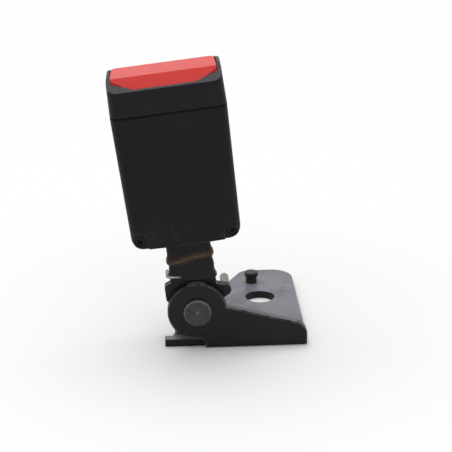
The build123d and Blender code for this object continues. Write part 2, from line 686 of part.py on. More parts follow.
def button_side_view():
    """The button seen from the side: a skirt set back, a steep front, a gentler top and an upright back."""
    return outline([
        (BUTTON_SKIRT_Y, BUTTON_BOTTOM),
        (BUTTON_SKIRT_Y, BUTTON_STEP_H),
        (BUTTON_FRONT_Y, BUTTON_STEP_H),
        (BUTTON_FRONT_Y, BUTTON_FRONT_H),
        (BUTTON_KNEE_Y, BUTTON_KNEE_H),
        (BUTTON_BACK_Y, BUTTON_CREST_H),
        (BUTTON_BACK_Y, BUTTON_BOTTOM),
    ])


def release_button():
    """The button's cap, hollow below, with two legs that stand on the springs."""
    whole = BUTTON_HALF_W
    front_view = shouldered(whole, whole, BUTTON_BOTTOM, BUTTON_CREST_H, BUTTON_SHOULDER_R)
    head = Pos(0, 0, BUTTON_BOTTOM) * extrude(button_plan(0), BUTTON_CREST_H - BUTTON_BOTTOM)
    head &= sideways(button_side_view(), -whole - 1, whole + 1)
    head &= upright(front_view, BUTTON_FRONT_Y - 1, BUTTON_BACK_Y + 1)
    half = whole - BUTTON_WALL
    y0 = BUTTON_FRONT_Y + BUTTON_CHAMFER_Y
    head -= block(-half, half, y0, BUTTON_BACK_Y - BUTTON_WALL, BUTTON_BOTTOM - 1, BUTTON_HOLLOW_TOP)
    for side in (-1, 1):
        x0, x1 = sorted((side * LEG_INNER_X, side * LEG_OUTER_X))
        head += block(x0, x1, LEG_FRONT_Y, LEG_BACK_Y, LEG_BOTTOM, BUTTON_HOLLOW_TOP)
    return head - rod_x(BAR_R, BAR_Y, BAR_H, -BAR_HALF_LENGTH, BAR_HALF_LENGTH)


def release_bar():
    """The bar between the button's legs, which presses on the latch's arm."""
    return rod_x(BAR_R, BAR_Y, BAR_H, -BAR_HALF_LENGTH, BAR_HALF_LENGTH)


def latch():
    """A hinged plate with a nose for the tongue's window and an arm under the release bar."""
    plate_back = LATCH_PIN_Y + LATCH_T
    body = block(-LATCH_HALF_W, LATCH_HALF_W, LATCH_PIN_Y, plate_back, LATCH_PIN_H, LATCH_TOP)
    nose = outline([
        (plate_back - 0.5, LATCH_TOP),
        (plate_back + LATCH_NOSE_REACH, LATCH_TOP - LATCH_NOSE_H + 1),
        (plate_back + LATCH_NOSE_REACH, LATCH_TOP - LATCH_NOSE_H),
        (plate_back - 0.5, LATCH_TOP - LATCH_NOSE_H),
    ])
    body += sideways(nose, -LATCH_HALF_W, LATCH_HALF_W)
    body += rod_x(LATCH_BARREL_R, LATCH_PIN_Y, LATCH_PIN_H, -LATCH_HALF_W, LATCH_HALF_W)
    arm_bottom = LATCH_ARM_TOP - LATCH_T
    body += block(
        -LATCH_ARM_HALF_W, LATCH_ARM_HALF_W, LATCH_ARM_FRONT_Y, LATCH_PIN_Y + 1, arm_bottom, LATCH_ARM_TOP
    )
    body -= rod_x(LATCH_PIN_R + RUNNING, LATCH_PIN_Y, LATCH_PIN_H, -LATCH_HALF_W - 1, LATCH_HALF_W + 1)
    hinge = Pos(0, LATCH_PIN_Y, LATCH_PIN_H)
    return hinge * Rot(LATCH_RAISED, 0, 0) * hinge.inverse() * body


def latch_pin():
    """The latch's hinge pin, held in the frame's walls."""
    return rod_x(LATCH_PIN_R, LATCH_PIN_Y, LATCH_PIN_H, -FRAME_HALF_W, FRAME_HALF_W)


def ejector():
    """The slider that pushes the tongue out, with a lug in each frame wall."""
    top = EJECTOR_BOTTOM + EJECTOR_H
    body = block(-EJECTOR_HALF_W, EJECTOR_HALF_W, EJECTOR_FRONT_Y, EJECTOR_BACK_Y, EJECTOR_BOTTOM, top)
    lug = EJECTOR_LUG_T / 2
    z0 = EJECTOR_BOTTOM + 1
    return body + block(
        -FRAME_HALF_W, FRAME_HALF_W, EJECTOR_MID_Y - lug, EJECTOR_MID_Y + lug, z0, z0 + EJECTOR_LUG_H
    )


def spring_carrier():
    """A plate across the frame with a peg for each compression spring, keyed into the walls."""
    half = FRAME_INNER_X - RUNNING
    body = block(-half, half, FRAME_WALL_FRONT_Y, FRAME_FACE_Y, CARRIER_BOTTOM, CARRIER_TOP)
    key_bottom = CARRIER_BOTTOM + RUNNING
    key_top = CARRIER_TOP - RUNNING
    body += block(-FRAME_HALF_W, FRAME_HALF_W, RUNNING, EJECTOR_FRONT_Y - RUNNING, key_bottom, key_top)
    for x, y in [(0, EJECTOR_MID_Y)] + leg_spring_places():
        body += rod_z(PEG_R, x, y, CARRIER_TOP, CARRIER_TOP + PEG_H)
    return body


def leg_spring_places():
    """Where the two button springs stand."""
    y = (LEG_FRONT_Y + LEG_BACK_Y) / 2
    return [(-LEG_SPRING_X, y), (LEG_SPRING_X, y)]


def coil_spring(x, y, z0, z1):
    """A compression spring between two heights."""
    height = z1 - z0 - 2 * COIL_WIRE_R
    path = Helix(height / COIL_TURNS, height, COIL_R)
    return Pos(x, y, z0 + COIL_WIRE_R) * wire(path, COIL_WIRE_R, COIL_SIDES)


def button_springs():
    """Two springs from the carrier to the button's legs."""
    return Compound(children=[coil_spring(x, y, CARRIER_TOP, LEG_BOTTOM) for x, y in leg_spring_places()])


def ejector_spring():
    """The spring from the carrier to the ejector."""
    return coil_spring(0, EJECTOR_MID_Y, CARRIER_TOP, EJECTOR_BOTTOM)


TO_ORIGIN = Pos(-HOLE_X, -HOLE_Y, 0)
LEANING = TO_ORIGIN * Pos(0, 0, PIVOT_H) * Rot(0, -LEAN, 0)

FIXED_PIECES = {
    "anchor_bracket": anchor_bracket,
    "locating_stud": locating_stud,
    "pivot_rivet": pivot_rivet,
    "rivet_washer": rivet_washer,
    "pivot_bush": pivot_bush,
    "torsion_spring": torsion_spring,
}

BUCKLE_PIECES = {
    "strap": strap,
    "stop_pin": stop_pin,
    "strap_boot": strap_boot,
    "frame": frame,
    "frame_rivets": frame_rivets,
    "front_housing": lambda: housing_half(True),
    "rear_housing": lambda: housing_half(False),
    "housing_screws": housing_screws,
    "top_cap": top_cap,
    "release_button": release_button,
    "release_bar": release_bar,
    "button_springs": button_springs,
    "latch": latch,
    "latch_pin": latch_pin,
    "ejector": ejector,
    "ejector_spring": ejector_spring,
    "spring_carrier": spring_carrier,
}


def main():
    """Write one STEP file for each piece, in its place."""
    os.makedirs("parts", exist_ok=True)
    for place, pieces in ((TO_ORIGIN, FIXED_PIECES), (LEANING, BUCKLE_PIECES)):
        for name, make in pieces.items():
            export_step(place * make(), f"parts/{name}.step")


if __name__ == "__main__":
    main()
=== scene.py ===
"""Seat belt buckle on its anchor bracket: finishes, soft parts, light and camera, as a Blender add-on."""

import json
import math

import bmesh
import bpy
import numpy as np
from bpy.props import FloatProperty, FloatVectorProperty, PointerProperty
from mathutils import Matrix, Vector


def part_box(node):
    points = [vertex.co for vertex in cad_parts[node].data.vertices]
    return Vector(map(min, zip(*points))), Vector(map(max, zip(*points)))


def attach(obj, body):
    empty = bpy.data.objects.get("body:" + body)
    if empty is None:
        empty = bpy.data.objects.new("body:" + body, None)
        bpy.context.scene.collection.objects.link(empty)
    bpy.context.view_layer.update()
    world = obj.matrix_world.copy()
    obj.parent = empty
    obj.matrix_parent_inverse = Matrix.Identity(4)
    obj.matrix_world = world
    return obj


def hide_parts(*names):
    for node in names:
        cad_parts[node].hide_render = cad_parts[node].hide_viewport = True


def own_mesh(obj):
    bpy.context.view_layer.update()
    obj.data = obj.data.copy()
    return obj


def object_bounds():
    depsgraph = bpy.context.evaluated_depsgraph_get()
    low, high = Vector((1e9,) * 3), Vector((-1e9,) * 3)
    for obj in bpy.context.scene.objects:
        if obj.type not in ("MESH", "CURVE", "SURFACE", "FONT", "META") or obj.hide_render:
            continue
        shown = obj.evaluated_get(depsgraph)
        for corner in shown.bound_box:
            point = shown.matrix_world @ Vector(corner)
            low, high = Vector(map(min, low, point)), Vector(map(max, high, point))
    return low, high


bl_info = {
    "name": "Seat Belt Buckle",
    "version": (1, 0, 0),
    "blender": (4, 5, 0),
    "location": "3D View > Sidebar > Buckle",
    "description": "Builds the finishes and soft parts of a seat belt buckle",
    "category": "Object",
}

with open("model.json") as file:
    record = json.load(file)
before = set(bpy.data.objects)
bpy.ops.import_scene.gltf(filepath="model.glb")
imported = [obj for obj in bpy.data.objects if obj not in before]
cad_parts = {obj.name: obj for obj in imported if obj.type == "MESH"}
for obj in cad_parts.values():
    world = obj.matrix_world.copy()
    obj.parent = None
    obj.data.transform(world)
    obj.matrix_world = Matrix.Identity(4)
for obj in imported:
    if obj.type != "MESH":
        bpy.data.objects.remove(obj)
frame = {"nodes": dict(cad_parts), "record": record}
cad_low, cad_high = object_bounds()
JOINTS = {joint["name"]: joint for joint in frame["record"]["behaviour"]["joints"]}
MOUNTS = {mount["name"]: mount for mount in frame["record"]["mounts"]}

MM = 0.001
FINISH = "_finish"  # ends the name of every finish, because the CAD's own materials have the plain names
PARTING = 83.3 * MM  # the cap's parting line above the pivot, along the buckle
STUD_NECK = 4.6 * MM  # the middle of the stud's neck above the stud's lower end
FLAT_TURN = 0.012  # one less the cosine between two normals, up to which a face counts as flat
UNMARKED_EDGE, EDGE_MARK_SHARPNESS = 0.38, 5.0  # noise below which an edge shows neither wear nor a painted highlight, and how fast either sets in
COARSE_SCALE, COARSE_SHARE = 0.12, 0.5  # the grain's coarser noise against the fine one
EDGE_HIGHLIGHT_GAIN, EDGE_HIGHLIGHT_LIFT = 4, 0.08  # how much paler than its face a moulded edge is, as a painted highlight
BOOT_COLUMNS, BOOT_ROWS = 160, 200
STEP_START, STEP_WIDTH = -0.5, 0.25  # where the boot's lower end steps down, in half widths
WAVE, WAVE_START = 1.9, 0.5  # radians of the ridge's sine in half a width, and at the middle
# Share, middle and width of each bell curve across the boot's folds, in millimetres from the ridge
FOLDS = ((1.0, 0.6, 1.5), (-0.8, -1.1, 0.6), (0.35, -4.2, 1.4))
DUST_MIDDLE, DUST_WIDTH = 0.4, 1.3  # the dust's bell curve, counted in the same way
FLARE_FADE = 1.6 * MM
SCREW_COLUMNS, STAR_POINTS, STAR_SWING = 96, 6, 0.16
HEAD_CHAMFER, STAR_CHAMFER = 0.25 * MM, 0.15 * MM
COIL_STEP = 0.13  # radians from one of the coil's rings to the next
BEND_POINTS = 9
WIRE_SIDES = 16
NO_WIRE_RUNS = (0.6, 0.8, 0)  # a direction that no stretch of the return spring has
FOOT_LEAN = 1.0 * MM
MERGE_DISTANCE = 0.001 * MM
SENSOR_WIDTH, NEAR_CLIP = 36, 0.01
FLOOR_SIZE, FLOOR_GREY, FLOOR_ROUGHNESS = 6, 0.94, 0.9
SHADOW_REACH, WHITE_REACH = 0.03, 0.16  # metres from the part's middle to where the white starts and is full
FULL_WHITE = 0.97
KEY_PLACE, KEY_SIZE = (-0.12, 0.08, 0.7), 0.6
FILL_PLACE, FILL_SIZE = (0.1, -0.7, 0.3), 0.5
PIVOT = Vector(JOINTS["strap_pivot"]["pos_m"])
UP_BUCKLE = -Vector(JOINTS["button_press"]["axis"]).normalized()
ACROSS_BUCKLE = Vector((0, 1, 0)).cross(UP_BUCKLE).normalized()


def srgb(red, green, blue):
    """A colour given as 0 to 255 display values, as Blender's linear values."""
    values = np.array([red, green, blue]) / 255
    linear = np.where(values <= 0.04045, values / 12.92, ((values + 0.055) / 1.055) ** 2.4)
    return tuple(float(v) for v in linear)


def colour(name, description, default):
    """A colour property."""
    return FloatVectorProperty(
        name=name, description=description, subtype="COLOR", size=3, min=0, max=1, default=default
    )


def length(name, description, default):
    """A length property, in metres."""
    return FloatProperty(
        name=name, description=description, subtype="DISTANCE", unit="LENGTH", default=default, min=0
    )


def angle(name, description, degrees):
    """An angle property, with its default in degrees."""
    return FloatProperty(name=name, description=description, subtype="ANGLE", default=math.radians(degrees))


def power(name, description, default):
    """A lamp's power property, in watts."""
    return FloatProperty(name=name, description=description, subtype="POWER", default=default, min=0)


class BuckleFinishes(bpy.types.PropertyGroup):
    """Colours of the finishes."""

    housing: colour("Housing", "Textured black plastic of the housing", srgb(20, 21, 24))
    cap: colour("Cap", "Smoother black plastic of the cap", srgb(24, 24, 27))
    # Colour of a painted sheen on the cap's upward faces
    cap_top_sheen: colour("Cap top", "Paler look of the cap's upward faces", srgb(74, 71, 75))
    button: colour("Button", "Red plastic of the release button", srgb(198, 36, 28))
    paint: colour("Paint", "Black paint of the bracket and strap", srgb(19, 19, 22))
    bare: colour("Bare steel", "Steel where the paint is worn off", srgb(140, 136, 130))
    wire: colour("Spring wire", "Worn spring wire", srgb(160, 158, 150))
    rivet: colour("Rivet", "Dull steel of the rivet", srgb(66, 65, 65))
    zinc: colour("Zinc", "Plated steel inside the housing", srgb(190, 190, 185))
    brass: colour("Brass", "Brass of the pivot bush", srgb(190, 155, 90))
    rubber: colour("Rubber", "Black rubber of the boot", srgb(24, 23, 23))
    dust: colour("Dust", "Brown dust on the rubber and plastic", srgb(118, 94, 70))
    rust: colour("Rust", "Rust on the neck of the locating stud", srgb(78, 58, 46))
    # Colour of a painted sheen on the bracket's upward faces
    pale_tone: colour("Haze", "Pale film on the bracket's upward faces", srgb(126, 125, 135))
    # Colour of a painted sheen on the button's top and of painted highlights on its edges
    pale_red: colour("Rubbed red", "Paler red of the button's top and edges", srgb(222, 104, 99))
    natural: colour("Natural plastic", "Grey plastic of the inner pieces", srgb(175, 175, 170))


class BuckleBoot(bpy.types.PropertyGroup):
    """Sizes of the rubber boot."""

    width: length("Width", "Width across the strap", 17.5 * MM)
    thickness: length("Thickness", "Thickness front to back", 7.4 * MM)
    wall: length("Wall", "Thickness of the rubber", 0.6 * MM)
    bottom: length("Bottom", "Height of the lower end above the pivot", 15.6 * MM)
    top: length("Top", "Height of the upper end above the pivot", 33.6 * MM)
    ridge: length("Ridge", "Height of the fold's ridge above the pivot", 21.5 * MM)
    fold: length("Fold", "How far the fold stands out", 0.75 * MM)
    skirt: length("Skirt", "How much lower the sleeve hangs over the spring's hook", 2.4 * MM)
    flare: length("Flare", "How far the lower end turns out on one side", 0.9 * MM)


class BuckleScrews(bpy.types.PropertyGroup):
    """Sizes of the housing screws."""

    spacing: length("Spacing", "Distance between the two screws", 35.6 * MM)
    height: length("Height", "Height of the screws above the pivot", 34.2 * MM)
    head_radius: length("Head radius", "Radius of the head", 1.9 * MM)
    head_height: length("Head height", "Thickness of the head", 1.6 * MM)
    shank_radius: length("Shank radius", "Radius of the shank", 1.2 * MM)
    star_radius: length("Star radius", "Mean radius of the star recess", 1.05 * MM)
    star_depth: length("Star depth", "Depth of the star recess", 1.4 * MM)


class BuckleSpring(bpy.types.PropertyGroup):
    """Sizes of the return spring round the pivot."""

    wire: length("Wire radius", "Half the wire's thickness", 0.65 * MM)
    coil: length("Coil radius", "From the pivot's line to the middle of the wire", 7.0 * MM)
    pitch: length("Pitch", "One turn's step along the pivot", 1.4 * MM)
    turns: FloatProperty(name="Turns", description="Turns round the bush", default=2.0, min=1)
    offset: length("Offset", "First turn behind the strap's middle plane", 2.55 * MM)
    bar: length("Bar", "Length of the bar across the strap", 5.8 * MM)
    bend: length("Bend", "Reach of each rounded corner along its runs", 1.8 * MM)


class BuckleStage(bpy.types.PropertyGroup):
    """Place of the camera and strength of the light."""

    azimuth: angle("Azimuth", "Turn of the camera round the part", -2.76)
    elevation: angle("Elevation", "How far the camera looks down", 20.3)
    roll: angle("Roll", "Roll of the camera", -0.76)
    distance: length("Distance", "Camera to target", 552.3 * MM)
    lens: FloatProperty(name="Lens", description="Focal length", subtype="DISTANCE_CAMERA", default=111.8)
    target: FloatVectorProperty(
        name="Target", description="Point the camera looks at", subtype="XYZ", unit="LENGTH",
        default=(-15.62 * MM, -32.9 * MM, 48.02 * MM),
    )
    key_power: power("Key", "Power of the overhead light", 3.0)
    fill_power: power("Fill", "Power of the front light", 0.7)
    ambient: FloatProperty(
        name="Ambient", description="Strength of the white surroundings on matte surfaces", default=0.5, min=0
    )


# Shader node groups


def new_group(name, inputs, outputs):
    """A node group with named float or vector sockets, and its input and output nodes."""
    group = bpy.data.node_groups.new(name, "ShaderNodeTree")
    for socket, kind, default in inputs:
        made = group.interface.new_socket(name=socket, in_out="INPUT", socket_type=kind)
        if default is not None:
            made.default_value = default
    for socket, kind in outputs:
        group.interface.new_socket(name=socket, in_out="OUTPUT", socket_type=kind)
    return group, group.nodes.new("NodeGroupInput"), group.nodes.new("NodeGroupOutput")


def noise(tree, vector, scale, detail=4.0, rough=0.55):
    """A noise texture on a vector socket. Scale is a number or a socket."""
    node = tree.nodes.new("ShaderNodeTexNoise")
    node.inputs["Detail"].default_value = detail
    node.inputs["Roughness"].default_value = rough
    tree.links.new(vector, node.inputs["Vector"])
    if isinstance(scale, (int, float)):
        node.inputs["Scale"].default_value = scale
    else:
        tree.links.new(scale, node.inputs["Scale"])
    return node.outputs["Fac"]


def math_node(tree, operation, a, b=0.0, clamp=False):
    """A Math node on two sockets or numbers."""
    node = tree.nodes.new("ShaderNodeMath")
    node.operation = operation
    node.use_clamp = clamp
    for socket, value in zip(node.inputs, (a, b)):
        if isinstance(value, (int, float)):
            socket.default_value = value
        else:
            tree.links.new(value, socket)
    return node.outputs[0]


def times(tree, a, b, clamp=False):
    """The product of two sockets or numbers."""
    return math_node(tree, "MULTIPLY", a, b, clamp)


def minus(tree, a, b, clamp=False):
    """The difference of two sockets or numbers."""
    return math_node(tree, "SUBTRACT", a, b, clamp)


def larger(tree, a, b):
    """The larger of two sockets or numbers."""
    return math_node(tree, "MAXIMUM", a, b)


def patches_group():
    """Soft-edged patches: noise that is stretched round a threshold into a 0 to 1 mask."""
    group, given, made = new_group(
        "Patches",
        [("Vector", "NodeSocketVector", None), ("Scale", "NodeSocketFloat", 100.0),
         ("Threshold", "NodeSocketFloat", 0.6), ("Sharpness", "NodeSocketFloat", 12.0)],
        [("Mask", "NodeSocketFloat")],
    )
    value = noise(group, given.outputs["Vector"], given.outputs["Scale"], detail=6.0, rough=0.65)
    above = minus(group, value, given.outputs["Threshold"])
    mask = times(group, above, given.outputs["Sharpness"], clamp=True)
    group.links.new(mask, made.inputs["Mask"])
    return group


def grain_group():
    """Fine moulded grain: the sum of two sizes of noise, as a height."""
    group, given, made = new_group(
        "Grain",
        [("Vector", "NodeSocketVector", None), ("Scale", "NodeSocketFloat", 2500.0)],
        [("Height", "NodeSocketFloat")],
    )
    fine = noise(group, given.outputs["Vector"], given.outputs["Scale"], detail=2.0)
    coarse_scale = times(group, given.outputs["Scale"], COARSE_SCALE)
    coarse = noise(group, given.outputs["Vector"], coarse_scale, detail=3.0)
    total = math_node(group, "ADD", fine, times(group, coarse, COARSE_SHARE))
    group.links.new(total, made.inputs["Height"])
    return group


def band_group():
    """A soft band across an axis: one at its middle and nothing beyond its half width."""
    group, given, made = new_group(
        "Band",
        [("Vector", "NodeSocketVector", None), ("Axis", "NodeSocketVector", (0, 0, 1)),
         ("Middle", "NodeSocketFloat", 0.0), ("Half width", "NodeSocketFloat", 0.01)],
        [("Mask", "NodeSocketFloat")],
    )
    along = group.nodes.new("ShaderNodeVectorMath")
    along.operation = "DOT_PRODUCT"
    group.links.new(given.outputs["Vector"], along.inputs[0])
    group.links.new(given.outputs["Axis"], along.inputs[1])
    away = minus(group, along.outputs["Value"], given.outputs["Middle"])
    share = math_node(group, "DIVIDE", math_node(group, "ABSOLUTE", away), given.outputs["Half width"])
    group.links.new(minus(group, 1.0, share, clamp=True), made.inputs["Mask"])
    return group


def edge_group():
    """Edges, for wear on paint or a painted highlight on plastic: where a normal rounded over a radius turns
    away from the true one, broken up by noise.
    """
    group, given, made = new_group(
        "Edge wear and highlight",
        [("Vector", "NodeSocketVector", None), ("Radius", "NodeSocketFloat", 0.3 * MM),
         ("Gain", "NodeSocketFloat", 5.0), ("Scale", "NodeSocketFloat", 400.0)],
        [("Mask", "NodeSocketFloat")],
    )
    bevel = group.nodes.new("ShaderNodeBevel")
    bevel.samples = 6
    group.links.new(given.outputs["Radius"], bevel.inputs["Radius"])
    geometry = group.nodes.new("ShaderNodeNewGeometry")
    dot = group.nodes.new("ShaderNodeVectorMath")
    dot.operation = "DOT_PRODUCT"
    group.links.new(bevel.outputs["Normal"], dot.inputs[0])
    group.links.new(geometry.outputs["Normal"], dot.inputs[1])
    turned = minus(group, minus(group, 1.0, dot.outputs["Value"]), FLAT_TURN)
    edge = times(group, turned, given.outputs["Gain"], clamp=True)
    value = noise(group, given.outputs["Vector"], given.outputs["Scale"], detail=5.0, rough=0.6)
    broken = times(group, minus(group, value, UNMARKED_EDGE), EDGE_MARK_SHARPNESS, clamp=True)
    group.links.new(times(group, edge, broken), made.inputs["Mask"])
    return group


def ring_group():
    """A soft ring round an axis along Y: one at its radius and nothing beyond its half width."""
    group, given, made = new_group(
        "Ring",
        [("Vector", "NodeSocketVector", None), ("Centre X", "NodeSocketFloat", 0.0),
         ("Centre Z", "NodeSocketFloat", 0.0), ("Radius", "NodeSocketFloat", 0.005),
         ("Half width", "NodeSocketFloat", 0.0005)],
        [("Mask", "NodeSocketFloat")],
    )
    split = group.nodes.new("ShaderNodeSeparateXYZ")
    group.links.new(given.outputs["Vector"], split.inputs[0])
    across = minus(group, split.outputs["X"], given.outputs["Centre X"])
    above = minus(group, split.outputs["Z"], given.outputs["Centre Z"])
    squares = [times(group, side, side) for side in (across, above)]
    radius = math_node(group, "SQRT", math_node(group, "ADD", *squares))
    away = minus(group, radius, given.outputs["Radius"])
    share = math_node(group, "DIVIDE", math_node(group, "ABSOLUTE", away), given.outputs["Half width"])
    group.links.new(minus(group, 1.0, share, clamp=True), made.inputs["Mask"])
    return group


def upward_group():
    """Faces that look up: the normal's Z, stretched round a threshold into a 0 to 1 mask."""
    group, given, made = new_group(
        "Upward",
        [("Vector", "NodeSocketVector", None), ("Threshold", "NodeSocketFloat", 0.7),
         ("Sharpness", "NodeSocketFloat", 5.0)],
        [("Mask", "NodeSocketFloat")],
    )
    split = group.nodes.new("ShaderNodeSeparateXYZ")
    group.links.new(given.outputs["Vector"], split.inputs[0])
    above = minus(group, split.outputs["Z"], given.outputs["Threshold"])
    mask = times(group, above, given.outputs["Sharpness"], clamp=True)
    group.links.new(mask, made.inputs["Mask"])
    return group


GROUP_MAKERS = {
    "Patches": patches_group,
    "Grain": grain_group,
    "Band": band_group,
    "Edge wear and highlight": edge_group,
    "Ring": ring_group,
    "Upward": upward_group,
}


def place_group(tree, name, vector, **values):
    """Place a group in a material with its own values, and give its mask or height."""
    if name not in bpy.data.node_groups:
        GROUP_MAKERS[name]()
    node = tree.nodes.new("ShaderNodeGroup")
    node.node_tree = bpy.data.node_groups[name]
    tree.links.new(vector, node.inputs["Vector"])
    for socket, value in values.items():
        node.inputs[socket.replace("_", " ")].default_value = value
    return node.outputs[0]


def mix(tree, factor, low, high):
    """A colour mix between two colours or sockets."""
    node = tree.nodes.new("ShaderNodeMix")
    node.data_type = "RGBA"
    tree.links.new(factor, node.inputs["Factor"])
    for socket, value in (("A", low), ("B", high)):
        target = [s for s in node.inputs if s.name == socket and s.type == "RGBA"][0]
        if isinstance(value, bpy.types.NodeSocket):
            tree.links.new(value, target)
        else:
            target.default_value = (*value, 1)
    return [s for s in node.outputs if s.type == "RGBA"][0]


def spread(tree, factor, low, high):
    """A number that runs from low to high with a factor."""
    node = tree.nodes.new("ShaderNodeMapRange")
    node.inputs["To Min"].default_value = low
    node.inputs["To Max"].default_value = high
    tree.links.new(factor, node.inputs["Value"])
    return node.outputs[0]


def strongest(tree, *masks):
    """The largest of several masks, each given with the share that it counts for."""
    shares = [times(tree, mask, share) for mask, share in masks]
    result = shares[0]
    for share in shares[1:]:
        result = larger(tree, result, share)
    return result


def scaled(base, share):
    """A colour times a share."""
    return tuple(c * share for c in base)


def start_material(name):
    """A new material with its tree, shader and object coordinates."""
    material = bpy.data.materials.new(name + FINISH)
    material.use_nodes = True
    tree = material.node_tree
    shader = tree.nodes["Principled BSDF"]
    coordinates = tree.nodes.new("ShaderNodeTexCoord").outputs["Object"]
    return material, tree, shader, coordinates


def own_normal(tree):
    """The normal in the piece's own coordinates."""
    return tree.nodes.new("ShaderNodeTexCoord").outputs["Normal"]


def set_bump(tree, shader, height, strength, distance):
    """A bump from a height socket."""
    bump = tree.nodes.new("ShaderNodeBump")
    bump.inputs["Strength"].default_value = strength
    bump.inputs["Distance"].default_value = distance
    tree.links.new(height, bump.inputs["Height"])
    tree.links.new(bump.outputs["Normal"], shader.inputs["Normal"])


def moulded_plastic(
    name, base, dust, roughness, grain_scale, grain_depth, dust_threshold, dusty_height=None, sheen=None
):
    """Moulded plastic with grain, faint colour changes, paler edges that are a painted highlight, and a black
    parting line.

    Specks of dust are spread over it. A painted sheen makes its tops paler, and more dust lies round a dusty
    height.
    """
    highlight_share, sheen_share, speck_share, low_share = 0.8, 0.6, 0.6, 0.09
    clear_gain, groove_gain = 3.0, 2.0
    material, tree, shader, where = start_material(name)
    cloud = place_group(tree, "Patches", where, Scale=60.0, Threshold=0.35, Sharpness=3.0)
    tone = mix(tree, cloud, scaled(base, 0.85), scaled(base, 1.2))
    # Paler edges, broken by noise and kept off the parting line: a painted highlight
    edge = place_group(tree, "Edge wear and highlight", where, Radius=0.35 * MM, Gain=12.0, Scale=500.0)
    parting = {"Axis": tuple(UP_BUCKLE), "Middle": PIVOT.dot(UP_BUCKLE) + PARTING}
    near = place_group(tree, "Band", where, Half_width=3 * MM, **parting)
    clear = minus(tree, 1.0, times(tree, near, clear_gain, clamp=True))
    edge = times(tree, times(tree, edge, clear), highlight_share)
    tone = mix(tree, edge, tone, tuple(c + EDGE_HIGHLIGHT_LIFT for c in scaled(base, EDGE_HIGHLIGHT_GAIN)))
    # A painted sheen: upward faces turn towards the sheen colour
    if sheen is not None:
        up = place_group(tree, "Upward", own_normal(tree), Threshold=0.6, Sharpness=4.0)
        tone = mix(tree, times(tree, up, sheen_share), tone, sheen)
    groove = place_group(tree, "Band", where, Half_width=0.6 * MM, **parting)
    tone = mix(tree, times(tree, groove, groove_gain, clamp=True), tone, (0.0, 0.0, 0.0))
    specks = place_group(tree, "Patches", where, Scale=900.0, Threshold=dust_threshold, Sharpness=20.0)
    amount = times(tree, specks, speck_share)
    if dusty_height is not None:
        band = place_group(tree, "Band", where, Middle=dusty_height, Half_width=14 * MM)
        broken = place_group(tree, "Patches", where, Scale=220.0, Threshold=0.5, Sharpness=6.0)
        low = times(tree, times(tree, band, broken), low_share)
        amount = larger(tree, amount, low)
    tree.links.new(mix(tree, amount, tone, dust), shader.inputs["Base Color"])
    tree.links.new(spread(tree, cloud, roughness - 0.05, roughness + 0.08), shader.inputs["Roughness"])
    shader.inputs["Specular IOR Level"].default_value = 0.13
    grain = place_group(tree, "Grain", where, Scale=grain_scale)
    set_bump(tree, shader, grain, strength=0.35, distance=grain_depth)
    return material


def worn_paint(name, base, bare, roughness, threshold, wear=1.0, sheen=None):
    """Gloss paint with chips and worn edges down to bare steel, faint paler patches, and a painted sheen on
    upward faces.
    """
    material, tree, shader, where = start_material(name)
    chips = place_group(tree, "Patches", where, Scale=420.0, Threshold=threshold, Sharpness=30.0)
    edge = place_group(tree, "Edge wear and highlight", where, Radius=0.45 * MM, Gain=16.0, Scale=260.0)
    worn = larger(tree, chips, times(tree, edge, wear))
    pale_tone = place_group(tree, "Patches", where, Scale=90.0, Threshold=0.45, Sharpness=4.0)
    tone = mix(tree, pale_tone, base, scaled(base, 1.5))
    # A painted sheen on upward faces, broken up by noise
    if sheen is not None:
        up = place_group(tree, "Upward", own_normal(tree), Threshold=0.93, Sharpness=14.0)
        cloudy = place_group(tree, "Patches", where, Scale=70.0, Threshold=0.05, Sharpness=1.9)
        tone = mix(tree, times(tree, up, cloudy), tone, sheen)
    tree.links.new(mix(tree, worn, tone, bare), shader.inputs["Base Color"])
    tree.links.new(worn, shader.inputs["Metallic"])
    tree.links.new(spread(tree, pale_tone, roughness, roughness + 0.14), shader.inputs["Roughness"])
    shader.inputs["Specular IOR Level"].default_value = 0.2
    grain = place_group(tree, "Grain", where, Scale=900.0)
    set_bump(tree, shader, grain, strength=0.12, distance=0.05 * MM)
    return material


def rusty_paint(name, base, rust, roughness, height):
    """Black paint with rust round a height."""
    rust_share = 0.45
    material, tree, shader, where = start_material(name)
    band = place_group(tree, "Band", where, Middle=height, Half_width=2.2 * MM)
    broken = place_group(tree, "Patches", where, Scale=700.0, Threshold=0.42, Sharpness=8.0)
    amount = times(tree, times(tree, band, broken), rust_share)
    tree.links.new(mix(tree, amount, base, rust), shader.inputs["Base Color"])
    tree.links.new(spread(tree, amount, roughness, 0.85), shader.inputs["Roughness"])
    shader.inputs["Specular IOR Level"].default_value = 0.3
    grain = place_group(tree, "Grain", where, Scale=1200.0)
    set_bump(tree, shader, grain, strength=0.2, distance=0.05 * MM)
    return material


def worn_metal(name, base, roughness):
    """Bare metal with stains and fine scratches."""
    material, tree, shader, where = start_material(name)
    stains = place_group(tree, "Patches", where, Scale=350.0, Threshold=0.45, Sharpness=5.0)
    tree.links.new(mix(tree, stains, base, scaled(base, 0.7)), shader.inputs["Base Color"])
    shader.inputs["Metallic"].default_value = 0.85
    tree.links.new(spread(tree, stains, roughness, roughness + 0.2), shader.inputs["Roughness"])
    grain = place_group(tree, "Grain", where, Scale=1500.0)
    set_bump(tree, shader, grain, strength=0.15, distance=0.04 * MM)
    return material


